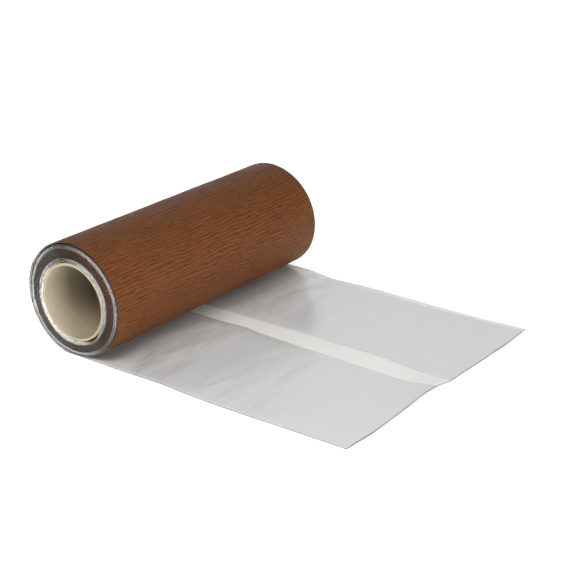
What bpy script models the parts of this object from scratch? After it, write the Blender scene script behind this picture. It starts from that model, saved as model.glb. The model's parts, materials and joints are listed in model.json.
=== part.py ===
"""Wide self-adhesive flashing tape: crinkled foil wound on a cardboard core, with its free end laid flat.

Metres, +Z up. The roll's axis lies along Y and the tape's free end points to +X. The tape is foil
outside, two adhesive strips inside it, and a release liner on each strip. The last sides of the outer
turn are separate panels, hinged at their fold lines, so that the roll unrolls onto the floor.
The origin is at the middle of the whole object's underside.
"""

import math

import bmesh
import bpy
from mathutils import Vector

# Tape
TAPE_WIDTH = 0.300
FREE_LENGTH = 0.307  # from under the roll's axis to the free edge
FOIL_THICKNESS = 0.00025
ADHESIVE_THICKNESS = 0.00040
LINER_THICKNESS = 0.00008
LAYER_GAP = 0.00005
TURN_GAP = 0.00008  # between one turn and the next where they lie tight, at the bottom
TURN_SLACK = 0.00030  # what each loose turn adds to that gap at the top

# Strips across the width, measured from the tape's middle
BARE_BAND_WIDTH = 0.024
BARE_BAND_CENTRE = 0.004
NEAR_BARE_EDGE = 0.0010
FAR_BARE_EDGE = 0.0060
LINER_OVERHANG = 0.0005  # the liner reaches past its adhesive on each side

# Roll
ROLL_DIAMETER = 0.1125  # over the corners of the outer turn
SIDES_PER_TURN = 20
UNROLLING_FOLDS = 7
FOLD_GAP = 0.0003

# Core, a spirally wound paper tube
CORE_BORE_DIAMETER = 0.0705
CORE_INNER_PLY = 0.0004
CORE_BOARD = 0.0015
CORE_OUTER_PLY = 0.0004
CORE_FACETS = 60
CORE_CLEARANCE = 0.00015  # from the core to the innermost liner

# Liner ends that are peeled back by hand
FLAP_LENGTH = 0.080
FLAP_SETBACK = 0.0010  # from the free edge of the foil

# Worked out from the sizes above
HALF_SIDE_ANGLE = math.pi / SIDES_PER_TURN
ROLL_RADIUS = ROLL_DIAMETER / 2
ROLL_APOTHEM = ROLL_RADIUS * math.cos(HALF_SIDE_ANGLE)
ROLL_X = -(FREE_LENGTH - ROLL_APOTHEM) / 2
FREE_EDGE_X = ROLL_X + FREE_LENGTH
ADHESIVE_DEPTH = FOIL_THICKNESS + LAYER_GAP
LINER_DEPTH = ADHESIVE_DEPTH + ADHESIVE_THICKNESS + LAYER_GAP
TAPE_THICKNESS = LINER_DEPTH + LINER_THICKNESS
TURN_DROP = TURN_SLACK / 2  # each turn's centre hangs this far below that of the turn around it
TURN_PITCH = TAPE_THICKNESS + TURN_GAP + TURN_DROP
CORE_THICKNESS = CORE_INNER_PLY + CORE_BOARD + CORE_OUTER_PLY + 2 * LAYER_GAP
CORE_RADIUS = CORE_BORE_DIAMETER / 2 + CORE_THICKNESS
INNER_TURN_RADIUS = (CORE_RADIUS + CORE_CLEARANCE + TAPE_THICKNESS) / math.cos(HALF_SIDE_ANGLE)
CORE_DROP = TURN_DROP * (ROLL_RADIUS - INNER_TURN_RADIUS) / TURN_PITCH
BAND_NEAR = BARE_BAND_CENTRE - BARE_BAND_WIDTH / 2
BAND_FAR = BARE_BAND_CENTRE + BARE_BAND_WIDTH / 2
NEAR_STRIP = (-TAPE_WIDTH / 2 + NEAR_BARE_EDGE, BAND_NEAR)
FAR_STRIP = (BAND_FAR, TAPE_WIDTH / 2 - FAR_BARE_EDGE)

FINISHES = {  # base colour, roughness, metallic
    "crinkled_foil": ((0.160, 0.058, 0.026), 0.45, 0.35),
    "adhesive": ((0.10, 0.10, 0.10), 0.35, 0.0),
    "liner": ((0.58, 0.60, 0.59), 0.30, 0.0),
    "core_board": ((0.48, 0.37, 0.22), 0.85, 0.0),
    "core_ply": ((0.60, 0.50, 0.34), 0.80, 0.0),
}


def clear_scene():
    for old in list(bpy.data.objects):
        bpy.data.objects.remove(old, do_unlink=True)


def make_collection(name):
    collection = bpy.data.collections.new(name)
    bpy.context.scene.collection.children.link(collection)
    return collection


def make_material(name, colour, roughness, metallic):
    material = bpy.data.materials.new(name)
    material.use_nodes = True
    shader = material.node_tree.nodes["Principled BSDF"]
    shader.inputs["Base Color"].default_value = (*colour, 1.0)
    shader.inputs["Roughness"].default_value = roughness
    shader.inputs["Metallic"].default_value = metallic
    material.diffuse_color = (*colour, 1.0)
    return material


def make_body(name, place, parent, collection):
    """An empty on the axis that everything parented to it turns about."""
    empty = bpy.data.objects.new(name, None)
    empty.empty_display_size = 0.02
    collection.objects.link(empty)
    empty.location = place if parent is None else place - parent["place"]
    empty.parent = parent["empty"] if parent else None
    return {"empty": empty, "place": place}


def make_solid(name, bm, wall, body, finish, collection):
    """Turns an open surface into a node with a wall on its inner side, hung on its body's empty."""
    mesh = bpy.data.meshes.new(name)
    bmesh.ops.translate(bm, verts=bm.verts, vec=-body["place"])
    bm.to_mesh(mesh)
    bm.free()
    mesh.shade_smooth()
    mesh.materials.append(bpy.data.materials[finish])
    node = bpy.data.objects.new(name, mesh)
    collection.objects.link(node)
    node.parent = body["empty"]
    solidify = node.modifiers.new("wall", "SOLIDIFY")
    solidify.thickness = wall
    solidify.offset = -1.0
    solidify.use_even_offset = True
    mesh.set_sharp_from_angle(angle=math.radians(40))
    return node


def make_sheet(name, profile, strip, wall, body, finish, collection):
    """A sheet of tape: its outer face follows profile, in the XZ plane, across strip, from low to high Y."""
    bm = bmesh.new()
    line = [bm.verts.new((x, strip[0], z)) for x, z in profile]
    edges = [bm.edges.new(pair) for pair in zip(line, line[1:])]
    swept = bmesh.ops.extrude_edge_only(bm, edges=edges)
    far_row = [part for part in swept["geom"] if isinstance(part, bmesh.types.BMVert)]
    bmesh.ops.translate(bm, verts=far_row, vec=(0, strip[1] - strip[0], 0))
    bm.normal_update()
    along = line[1].co - line[0].co
    outward = along.cross(Vector((0, 1, 0)))
    if line[0].link_faces[0].normal.dot(outward) < 0:
        bmesh.ops.reverse_faces(bm, faces=bm.faces)
    return make_solid(name, bm, wall, body, finish, collection)


def make_tube(name, radius, wall, body, finish, collection):
    """One ply of the core: an open cylinder along Y, thickened inwards."""
    bm = bmesh.new()
    bmesh.ops.create_cone(
        bm,
        cap_ends=False,
        segments=CORE_FACETS,
        radius1=radius,
        radius2=radius,
        depth=TAPE_WIDTH,
    )
    for vert in bm.verts:
        vert.co = Vector((vert.co.x, vert.co.z, -vert.co.y))
    bm.normal_update()
    side = bm.verts[:][0].link_faces[0]
    if side.normal.dot(side.calc_center_median()) < 0:
        bmesh.ops.reverse_faces(bm, faces=bm.faces)
    bmesh.ops.translate(bm, verts=bm.verts, vec=core_axis())
    return make_solid(name, bm, wall, body, finish, collection)


def core_axis():
    return Vector((ROLL_X, 0, ROLL_APOTHEM - CORE_DROP))


def corner_angle(corner):
    """The angle of a corner of the wound outline, from straight down and round by the left."""
    return (2 * corner - 1) * HALF_SIDE_ANGLE


def turns_wound(corner):
    """How many turns lie outside this corner: the first one eases in before it passes the tail."""
    first_wound = corner_angle(UNROLLING_FOLDS)
    full_turn = corner_angle(SIDES_PER_TURN)
    angle = corner_angle(corner)
    if angle <= first_wound:
        return 0.0
    if angle <= full_turn:
        return (angle - first_wound) / (full_turn - first_wound)
    return 1 + (angle - full_turn) / math.tau


def wound_point(corner, depth):
    """(x, z) of a corner of the tape at this depth under its outer face."""
    turns = turns_wound(corner)
    radius = ROLL_RADIUS - TURN_PITCH * turns
    reach = radius - depth / math.cos(HALF_SIDE_ANGLE)
    angle = corner_angle(corner)
    x = ROLL_X - reach * math.sin(angle)
    z = ROLL_APOTHEM - TURN_DROP * turns - reach * math.cos(angle)
    return x, z


def last_corner():
    """The last corner that the tape's thickness leaves room for around the core."""
    corner = SIDES_PER_TURN
    while ROLL_RADIUS - TURN_PITCH * turns_wound(corner + 1) >= INNER_TURN_RADIUS:
        corner += 1
    return corner


def moved_towards(start, end, distance):
    length = math.dist(start, end)
    return tuple(a + (b - a) * distance / length for a, b in zip(start, end))


def fold_inset(depth, wall):
    """How far a layer ends before its fold line, so that neighbours clear each other at rest."""
    return FOLD_GAP / 2 + (depth + wall) * math.tan(HALF_SIDE_ANGLE)


def panel_profile(side, depth, wall):
    """One flat side of the outer turn, from fold to fold."""
    start, end = wound_point(side, depth), wound_point(side + 1, depth)
    inset = fold_inset(depth, wall) - depth * math.tan(HALF_SIDE_ANGLE)
    return [moved_towards(start, end, inset), moved_towards(end, start, inset)]


def wound_profile(depth, wall):
    """Everything that stays on the roll, from the last fold to the innermost end."""
    points = [wound_point(c, depth) for c in range(UNROLLING_FOLDS, last_corner() + 1)]
    inset = fold_inset(depth, wall) - depth * math.tan(HALF_SIDE_ANGLE)
    points[0] = moved_towards(points[0], points[1], inset)
    return points


def tail_profile(depth, wall, from_x, to_x=None):
    """A flat layer of the free end, from its end at from_x back to to_x, or to the first fold."""
    if to_x is None:
        to_x = wound_point(1, 0)[0] + fold_inset(depth, wall)
    return [(from_x, depth), (to_x, depth)]


LAYERS = (  # name, depth under the foil's outer face, wall, strip, finish
    ("foil", 0.0, FOIL_THICKNESS, (-TAPE_WIDTH / 2, TAPE_WIDTH / 2), "crinkled_foil"),
    ("near_adhesive", ADHESIVE_DEPTH, ADHESIVE_THICKNESS, NEAR_STRIP, "adhesive"),
    ("far_adhesive", ADHESIVE_DEPTH, ADHESIVE_THICKNESS, FAR_STRIP, "adhesive"),
    (
        "near_liner",
        LINER_DEPTH,
        LINER_THICKNESS,
        (NEAR_STRIP[0] - LINER_OVERHANG, NEAR_STRIP[1] + LINER_OVERHANG),
        "liner",
    ),
    (
        "far_liner",
        LINER_DEPTH,
        LINER_THICKNESS,
        (FAR_STRIP[0] - LINER_OVERHANG, FAR_STRIP[1] + LINER_OVERHANG),
        "liner",
    ),
)


def build_tail(collection):
    """The free end on the floor, and the two liner ends that peel up from it."""
    tail = make_body("tail_body", Vector((0, 0, 0)), None, collection)
    flap_fold_x = FREE_EDGE_X - FLAP_SETBACK - FLAP_LENGTH
    for layer, depth, wall, strip, finish in LAYERS:
        is_liner = layer.endswith("liner")
        end_x = flap_fold_x - FOLD_GAP / 2 if is_liner else FREE_EDGE_X
        profile = tail_profile(depth, wall, end_x)
        make_sheet(f"tail_{layer}", profile, strip, wall, tail, finish, collection)
        if not is_liner:
            continue
        place = Vector((flap_fold_x, 0, depth + wall))
        flap = make_body(f"{layer}_flap_body", place, tail, collection)
        profile = tail_profile(depth, wall, flap_fold_x + FLAP_LENGTH, flap_fold_x + FOLD_GAP / 2)
        make_sheet(f"{layer}_flap", profile, strip, wall, flap, finish, collection)
    return tail


def build_panels(tail, collection):
    """The panels between the tail and the roll, each hung on the fold before it."""
    parent = tail
    for side in range(1, UNROLLING_FOLDS):
        x, z = wound_point(side, 0)
        panel = make_body(f"panel_{side}_body", Vector((x, 0, z)), parent, collection)
        for layer, depth, wall, strip, finish in LAYERS:
            profile = panel_profile(side, depth, wall)
            make_sheet(f"panel_{side}_{layer}", profile, strip, wall, panel, finish, collection)
        parent = panel
    return parent


def build_roll(last_panel, collection):
    """The wound pack and its core, which turn together about the last fold as the tape comes off."""
    x, z = wound_point(UNROLLING_FOLDS, 0)
    roll = make_body("roll_body", Vector((x, 0, z)), last_panel, collection)
    for layer, depth, wall, strip, finish in LAYERS:
        profile = wound_profile(depth, wall)
        make_sheet(f"wound_{layer}", profile, strip, wall, roll, finish, collection)
    radius = CORE_RADIUS
    for name, wall, finish in (
        ("core_outer_ply", CORE_OUTER_PLY, "core_ply"),
        ("core_board", CORE_BOARD, "core_board"),
        ("core_inner_ply", CORE_INNER_PLY, "core_ply"),
    ):
        make_tube(name, radius, wall, roll, finish, collection)
        radius -= wall + LAYER_GAP


def main():
    clear_scene()
    collection = make_collection("flashing_tape_roll")
    for name, (colour, roughness, metallic) in FINISHES.items():
        make_material(name, colour, roughness, metallic)
    tail = build_tail(collection)
    last_panel = build_panels(tail, collection)
    build_roll(last_panel, collection)


main()
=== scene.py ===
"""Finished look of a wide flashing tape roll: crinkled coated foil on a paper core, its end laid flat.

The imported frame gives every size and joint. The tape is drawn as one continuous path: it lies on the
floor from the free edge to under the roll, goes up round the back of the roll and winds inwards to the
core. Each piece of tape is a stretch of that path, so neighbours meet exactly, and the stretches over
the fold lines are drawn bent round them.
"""

from __future__ import annotations

import json
import logging
import math
from dataclasses import dataclass, field
from enum import Enum
from typing import Any, Callable, Sequence

import bmesh
import bpy
import numpy as np
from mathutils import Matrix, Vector

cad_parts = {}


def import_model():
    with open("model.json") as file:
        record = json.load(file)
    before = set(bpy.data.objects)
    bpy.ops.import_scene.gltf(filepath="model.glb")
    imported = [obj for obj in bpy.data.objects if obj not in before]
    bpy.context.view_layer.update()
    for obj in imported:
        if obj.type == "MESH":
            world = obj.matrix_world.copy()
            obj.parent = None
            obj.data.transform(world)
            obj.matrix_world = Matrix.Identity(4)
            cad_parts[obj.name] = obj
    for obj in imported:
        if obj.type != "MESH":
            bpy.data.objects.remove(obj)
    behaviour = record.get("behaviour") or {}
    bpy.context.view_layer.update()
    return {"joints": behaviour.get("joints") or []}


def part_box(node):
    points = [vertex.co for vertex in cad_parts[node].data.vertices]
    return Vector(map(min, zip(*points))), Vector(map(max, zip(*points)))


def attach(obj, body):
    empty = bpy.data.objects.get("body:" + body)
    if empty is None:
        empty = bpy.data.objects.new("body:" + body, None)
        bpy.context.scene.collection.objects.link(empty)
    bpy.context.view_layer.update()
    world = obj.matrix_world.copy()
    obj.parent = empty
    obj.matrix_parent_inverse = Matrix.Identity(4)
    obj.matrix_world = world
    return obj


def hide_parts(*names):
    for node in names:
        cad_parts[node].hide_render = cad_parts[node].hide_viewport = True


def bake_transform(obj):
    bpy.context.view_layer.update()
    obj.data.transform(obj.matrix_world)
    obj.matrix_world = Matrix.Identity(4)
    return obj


LOG = logging.getLogger("flashing_tape")
Array = np.ndarray
Colour = tuple[float, float, float]
TAPE_UV = "tape"
CRINKLE = "crinkle"
EDGE = "edge"
WOUND = "wound"
SOIL = "soil"
MM = 0.001
EDGE_SPAN = 10 * MM


# ---------------------------------------------------------------- patterns


def smooth_noise(u: Array, v: Array, seed: int) -> Array:
    """Smooth value noise on a unit lattice.

    Args:
        u: First coordinate, in lattice cells.
        v: Second coordinate, in lattice cells.
        seed: Picks one of many independent patterns.

    Returns:
        Values from -1 to 1, one for each point.
    """
    u, v = np.broadcast_arrays(np.asarray(u, float), np.asarray(v, float))
    cell_u, cell_v = np.floor(u).astype(np.int64), np.floor(v).astype(np.int64)
    part_u, part_v = u - cell_u, v - cell_v
    ease_u = part_u * part_u * (3 - 2 * part_u)
    ease_v = part_v * part_v * (3 - 2 * part_v)

    def corner(step_u: int, step_v: int) -> Array:
        """The value at one corner of each point's cell, from a hash of the corner's place.

        Args:
            step_u: 0 for the cell's lower side in u, 1 for the upper.
            step_v: The same in v.

        Returns:
            Values from -1 to 1.
        """
        mixed = (cell_u + step_u) * 374761393 + (cell_v + step_v) * 668265263 + seed * 974634777
        mixed &= 0xFFFFFFFF
        mixed = ((mixed ^ (mixed >> 13)) * 1274126177) & 0xFFFFFFFF
        return ((mixed ^ (mixed >> 16)) & 0xFFFF) / 32767.5 - 1

    low = corner(0, 0) * (1 - ease_u) + corner(1, 0) * ease_u
    high = corner(0, 1) * (1 - ease_u) + corner(1, 1) * ease_u
    return low * (1 - ease_v) + high * ease_v


def ease(value: Array, start: float | Array, end: float | Array) -> Array:
    """A smooth rise from 0 at start to 1 at end."""
    t = np.clip((np.asarray(value, float) - start) / (end - start), 0, 1)
    return t * t * (3 - 2 * t)


def hump(value: Array, rise: tuple[float, float], fall: tuple[float, float]) -> Array:
    """A smooth rise from 0 to 1 over one stretch, and a fall back to 0 over another."""
    return ease(value, *rise) * (1 - ease(value, *fall))


@dataclass(frozen=True)
class WavyLine:
    """A line that drifts from point to point, eased between them.

    Attributes:
        stations: Where the points are, rising: millimetres, or turns of the winding.
        values: The line's value at each station, in millimetres.
    """

    stations: tuple[float, ...]
    values: tuple[float, ...]

    def over(self, where: Array) -> Array:
        """The line's value.

        Args:
            where: Where to look, in the stations' own unit.

        Returns:
            The values in metres.
        """
        found = np.full(np.shape(where), self.values[0])
        spans = zip(self.stations, self.stations[1:], self.values, self.values[1:])
        for start, end, low, high in spans:
            found = found + (high - low) * ease(where, start, end)
        return found * MM

    def at(self, where: Array) -> Array:
        """The line's value, in metres, at distances in metres."""
        return self.over(np.asarray(where, float) / MM)


@dataclass(frozen=True)
class Crinkle:
    """The foil's creping: wavering ridges across the tape, which fade, fork and run together.

    Attributes:
        pitch: Mean distance from ridge to ridge.
        height: Height of a full ridge over the mean face.
        fine_height: Height of the small puckers between the ridges.
    """

    pitch: float = 3.5 * MM
    height: float = 0.28 * MM
    fine_height: float = 0.11 * MM

    def relief(self, s: Array, y: Array) -> Array:
        """Height of the ridges over the foil's mean face, outwards.

        Args:
            s: Distance along the tape.
            y: Distance across it.

        Returns:
            The relief in metres.
        """
        drift = 1.7 * MM * smooth_noise(s / (13 * MM), y / (42 * MM), 1)
        drift = drift + 1.0 * MM * smooth_noise(s / (5 * MM), y / (12 * MM), 2)
        phase = math.tau * (s + drift) / self.pitch
        ridge = np.sin(phase) - 0.25 * np.cos(2 * phase)
        strength = 0.50 + 0.50 * smooth_noise(s / (8 * MM), y / (17 * MM), 3)
        fine = smooth_noise(s / (1.5 * MM), y / (6 * MM), 4)
        return self.height * ridge * strength + self.fine_height * fine


@dataclass(frozen=True)
class FoldBend:
    """How the tape bends over one fold line.

    Attributes:
        hinge: The fold line's x and z.
        start: Where the bend starts to follow the next body, as x and z.
        end: Where it follows that body alone.
        heading: Turn of the side before the fold, from flat on the floor.
        side_angle: Turn from that side to the next.
        middle: The fold line's distance along the tape.
    """

    hinge: tuple[float, float]
    start: tuple[float, float]
    end: tuple[float, float]
    heading: float
    side_angle: float
    middle: float

    def share(self, x: Array, z: Array) -> Array:
        """How much of the next side's turn a point takes.

        Args:
            x: The points' x.
            z: Their z.

        Returns:
            From 0, which follows the body before, to 1, which follows the next.
        """
        along_x, along_z = self.end[0] - self.start[0], self.end[1] - self.start[1]
        reach = (x - self.start[0]) * along_x + (z - self.start[1]) * along_z
        return ease(reach / (along_x**2 + along_z**2), 0.0, 1.0)

    def place(self, s: Array, depth: Array) -> tuple[Array, Array]:
        """Turns the flat tape back about the fold line by each point's own share.

        Args:
            s: Distance along the tape.
            depth: Depth under the outer face of the flat tape.

        Returns:
            The points' x and z.
        """
        along = self.middle - s
        share = np.full(np.shape(s), 0.5)
        for _ in range(7):
            turn = self.heading + self.side_angle * share
            x = self.hinge[0] - along * np.cos(turn) + depth * np.sin(turn)
            z = self.hinge[1] + along * np.sin(turn) + depth * np.cos(turn)
            share = self.share(x, z)
        return x, z


@dataclass(frozen=True)
class TapePath:
    """Where the tape runs: s is the distance along it from under the roll's axis, s < 0 on the roll.

    Attributes:
        axis_x: The roll's axis.
        axis_z: Its height.
        side: Length of the tape from one fold line to the next.
        side_angle: The angle between one fold line and the next.
        hinges: The fold lines' x and z.
        pitch: Distance from one turn to the next.
        turn_drop: How far each turn's centre hangs below the one around it.
        free_length: From under the axis to the free edge.
        crinkle: The foil's creping.
        clearance: How far the foil's face stays off the floor where it rests.
        wave_height: Height of the laid tape's low waves.
        far_lift: How far the far edge stands up beside the roll.
        edge_lift: How far the free edge stands up, across the tape.
        free_edge: How far the free edge reaches past its length, across the tape.
    """

    axis_x: float
    axis_z: float
    side: float
    side_angle: float
    hinges: tuple[tuple[float, float], ...]
    pitch: float
    turn_drop: float
    free_length: float
    crinkle: Crinkle = Crinkle()
    clearance: float = 0.42 * MM
    wave_height: float = 0.8 * MM
    far_lift: float = 3.0 * MM
    edge_lift: WavyLine = WavyLine(
        (-150, -138, -118, -80, -36, -8, 12, 40, 100, 150),
        (0.3, 0.2, 0.0, 0.6, 2.8, 2.2, 0.2, 0.3, 0.2, 1.0),
    )
    free_edge: WavyLine = WavyLine(
        (-150, -120, -60, -20, 12, 60, 110, 150),
        (0.6, 1.6, 0.2, -1.2, 1.4, 2.0, 1.9, 0.6),
    )

    @property
    def folds(self) -> int:
        """How many fold lines the outer turn has."""
        return len(self.hinges)

    @property
    def radius(self) -> float:
        """Radius of the outer turn where it rests."""
        return self.axis_z - self.clearance

    def s_at(self, angle: float) -> float:
        """Distance along the tape at an angle round the roll, from straight down and by the back."""
        return -angle * self.side / self.side_angle

    def angle_at(self, s: Array) -> Array:
        """The angle round the roll at a distance along the tape."""
        return np.maximum(-np.asarray(s, float) * self.side_angle / self.side, 0)

    def bend(self, fold: int) -> FoldBend:
        """The bend over a fold line.

        Between two panels the tape keeps to the circle through the fold lines, where each fold gives
        a quarter to three quarters of its turn. The first bend leaves the flat tape and the last one
        joins the rigid roll, so they start at none and end at all of it.

        Args:
            fold: The fold's number, from 1.

        Returns:
            The bend.
        """
        first, last = fold == 1, fold == self.folds
        quarter = 0.5 - math.sin(math.asin(0.5) / 3)
        low, high = (0.0 if first else quarter), (1.0 if last else 1 - quarter)
        outer = math.hypot(self.hinges[0][0] - self.axis_x, self.hinges[0][1] - self.axis_z)
        ends = []
        for angle in ((fold - 1) * self.side_angle, fold * self.side_angle):
            x, z = outer * math.sin(angle), outer * math.cos(angle)
            ends.append((self.axis_x - x, self.axis_z - z))
        run = [(b - a) / (high - low) for a, b in zip(*ends)]
        start = tuple(a - low * step for a, step in zip(ends[0], run))
        return FoldBend(
            hinge=self.hinges[fold - 1],
            start=start,
            end=tuple(a + step for a, step in zip(start, run)),
            heading=(fold - 1) * self.side_angle,
            side_angle=self.side_angle,
            middle=-(fold - 0.5) * self.side,
        )

    def turns(self, angle: Array) -> Array:
        """How many turns lie outside an angle of the winding.

        Args:
            angle: Angles round the roll.

        Returns:
            The turns. The outer turn sinks by one from its folds to where it goes under itself.
        """
        first = self.folds * self.side_angle
        full = math.tau - self.side_angle / 2
        eased = np.clip((angle - first) / (full - first), 0, 1)
        return np.where(angle > full, 1 + (angle - full) / math.tau, eased)

    def lift(self, s: Array, y: Array) -> Array:
        """How far the laid tape stands off the floor: low waves, and freer edges.

        Args:
            s: Distance along the tape.
            y: Distance across it.

        Returns:
            The heights.
        """
        wave = 0.9 + 0.55 * np.sin(s / (26 * MM) + y / (70 * MM) + 0.6)
        wave = wave + 0.5 * smooth_noise(s / (45 * MM), y / (60 * MM), 21)
        edge = np.abs(y) / (150 * MM)
        wave = wave * (0.55 + 0.45 * edge**3)
        low = self.clearance + self.wave_height * ease(s, 45 * MM, 120 * MM) * wave
        by_roll = self.far_lift * hump(s, (2 * MM, 22 * MM), (50 * MM, 85 * MM))
        low = low + by_roll * ease(y, 95 * MM, 148 * MM)
        return low + self.edge_lift.at(y) * ease(s, self.free_length - 42 * MM, self.free_length)

    def place(self, s: Array, y: Array, depth: Array, loose: Array | float, fold: int = 0) -> Array:
        """Points of the tape.

        Args:
            s: Distance along the tape.
            y: Distance across it.
            depth: Depth under the foil's outer face.
            loose: How far a loose turn stands off its place, outwards.
            fold: The fold that the piece bends over, or 0.

        Returns:
            An array of points, with x, y and z last.
        """
        if fold:
            x, z = self.bend(fold).place(s, depth + self.clearance)
            return np.stack([x, y, z], axis=-1)
        angle = self.angle_at(s)
        turns = self.turns(angle)
        reach = self.radius - self.pitch * turns - depth + loose
        laid = s >= 0
        x = np.where(laid, self.axis_x + s, self.axis_x - reach * np.sin(angle))
        wound_z = self.axis_z - self.turn_drop * turns - reach * np.cos(angle)
        return np.stack([x, y, np.where(laid, depth + self.lift(s, y), wound_z)], axis=-1)


# ---------------------------------------------------------------- shader expressions


class Signal:
    """A value on its way through a material's nodes, usable in Python expressions."""

    def __init__(self, board: NodeBoard, socket: bpy.types.NodeSocket) -> None:
        """Wraps one output socket of a node on a board."""
        self.board = board
        self.socket = socket

    def out(self, name: str) -> Signal:
        """Another output of the same node."""
        return Signal(self.board, self.socket.node.outputs[name])

    def _math(self, operation: str, first: Any, second: Any) -> Signal:
        """Adds one Math node."""
        return self.board.add("ShaderNodeMath", {0: first, 1: second}, operation=operation)

    def __add__(self, other: Signal | float) -> Signal:
        """self + other."""
        return self._math("ADD", self, other)

    __radd__ = __add__

    def __mul__(self, other: Signal | float) -> Signal:
        """self * other."""
        return self._math("MULTIPLY", self, other)

    __rmul__ = __mul__

    def __sub__(self, other: Signal | float) -> Signal:
        """self - other."""
        return self._math("SUBTRACT", self, other)

    def __rsub__(self, other: Signal | float) -> Signal:
        """other - self."""
        return self._math("SUBTRACT", other, self)

    def __truediv__(self, other: Signal | float) -> Signal:
        """self / other."""
        return self._math("DIVIDE", self, other)

    def __lt__(self, other: Signal | float) -> Signal:
        """1 where self is under other, else 0."""
        return self._math("LESS_THAN", self, other)

    def clamped(self) -> Signal:
        """self held between 0 and 1."""
        return self.board.add("ShaderNodeClamp", {"Value": self})

    def apply(self, operation: str) -> Signal:
        """A Math node's operation on one value, such as FRACT, SINE or ABSOLUTE."""
        return self.board.add("ShaderNodeMath", {0: self}, operation=operation)


class NodeBoard:
    """The node tree of one material, with its Principled shader."""

    def __init__(self, name: str) -> None:
        """Starts a material with an untouched Principled shader.

        Args:
            name: The material's name.
        """
        self.material = bpy.data.materials.new(name)
        self.material.use_nodes = True
        self.tree = self.material.node_tree
        self.shader = self.tree.nodes["Principled BSDF"]

    def add(
        self, kind: str, inputs: dict | None = None, output: str | int = 0, **settings: Any
    ) -> Signal:
        """Adds a node.

        Args:
            kind: The node's type.
            inputs: Values or signals, by socket name or number.
            output: The output to return.
            **settings: Properties of the node, set first. stops are a colour ramp's.

        Returns:
            The chosen output.
        """
        node = self.tree.nodes.new(kind)
        stops = settings.pop("stops", None)
        for key, value in settings.items():
            setattr(node, key, value)
        if stops:
            ramp = node.color_ramp
            while len(ramp.elements) < len(stops):
                ramp.elements.new(0.5)
            for element, (position, colour) in zip(ramp.elements, stops):
                element.position = position
                element.color = (*colour, 1.0)
        for key, value in (inputs or {}).items():
            self.feed(node.inputs[key], value)
        return Signal(self, node.outputs[output])

    def feed(self, socket: bpy.types.NodeSocket, value: Any) -> None:
        """Links a signal to a socket, or sets the socket's own value.

        Args:
            socket: The socket.
            value: A signal, a number, a vector, or a colour without its alpha.
        """
        if isinstance(value, Signal):
            self.tree.links.new(value.socket, socket)
        elif isinstance(value, tuple) and len(value) == 3 and socket.type == "RGBA":
            socket.default_value = (*value, 1.0)
        else:
            socket.default_value = value

    def mix(self, first: Signal | Colour, second: Signal | Colour, factor: Signal | float) -> Signal:
        """A blend of two colours."""
        return self.add("ShaderNodeMix", {0: factor, 6: first, 7: second}, 2, data_type="RGBA")

    def tape_point(self, along: float, across: float) -> Signal:
        """The tape's own coordinates.

        Args:
            along: Length of one pattern cell along the tape, in metres.
            across: Length of one pattern cell across it.

        Returns:
            A vector in pattern cells.
        """
        uv = self.add("ShaderNodeUVMap", uv_map=TAPE_UV)
        return self.add("ShaderNodeMapping", {"Vector": uv, "Scale": (1 / along, 1 / across, 1)})

    def object_point(self, scale: tuple[float, float, float]) -> Signal:
        """Object coordinates, scaled."""
        place = self.add("ShaderNodeTexCoord", output="Object")
        return self.add("ShaderNodeMapping", {"Vector": place, "Scale": scale})

    def noise(self, point: Signal, detail: float, rough: float, warp: float = 0.0) -> Signal:
        """Noise from 0 to 1 at a point in pattern cells."""
        inputs = {"Scale": 1.0, "Detail": detail, "Roughness": rough, "Distortion": warp}
        return self.add("ShaderNodeTexNoise", {"Vector": point, **inputs})

    def edge_band(self, reach: float) -> Signal:
        """How near a point is to the layer's long edges: 1 at the edge, 0 from reach inwards."""
        return (1 - self.attribute(EDGE) * (EDGE_SPAN / reach)).clamped()

    def attribute(self, name: str) -> Signal:
        """A number stored on the mesh."""
        return self.add("ShaderNodeAttribute", output="Fac", attribute_name=name)

    def bump(self, height: Signal, distance: float, strength: float) -> Signal:
        """A normal roughened by a height signal."""
        return self.add("ShaderNodeBump", {"Height": height, "Distance": distance, "Strength": strength})

    def finish(self, **sockets: Any) -> bpy.types.Material:
        """Feeds the Principled shader.

        Args:
            **sockets: Values or signals, named as the shader's sockets with underscores for spaces.

        Returns:
            The finished material.
        """
        for key, value in sockets.items():
            self.feed(self.shader.inputs[key.replace("_", " ")], value)
        return self.material


# ---------------------------------------------------------------- finishes


@dataclass(frozen=True)
class Grain:
    """One noise pattern laid out on the tape.

    Attributes:
        along: Length of a cell along the tape.
        across: Length of a cell across it.
        detail: How many finer octaves it holds.
        rough: Strength of each octave beside the one before.
        warp: How far it distorts itself.
    """

    along: float
    across: float
    detail: float = 3.0
    rough: float = 0.6
    warp: float = 0.0

    def on(self, board: NodeBoard) -> Signal:
        """The pattern on a board, from 0 to 1."""
        return board.noise(board.tape_point(self.along, self.across), self.detail, self.rough, self.warp)


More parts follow.
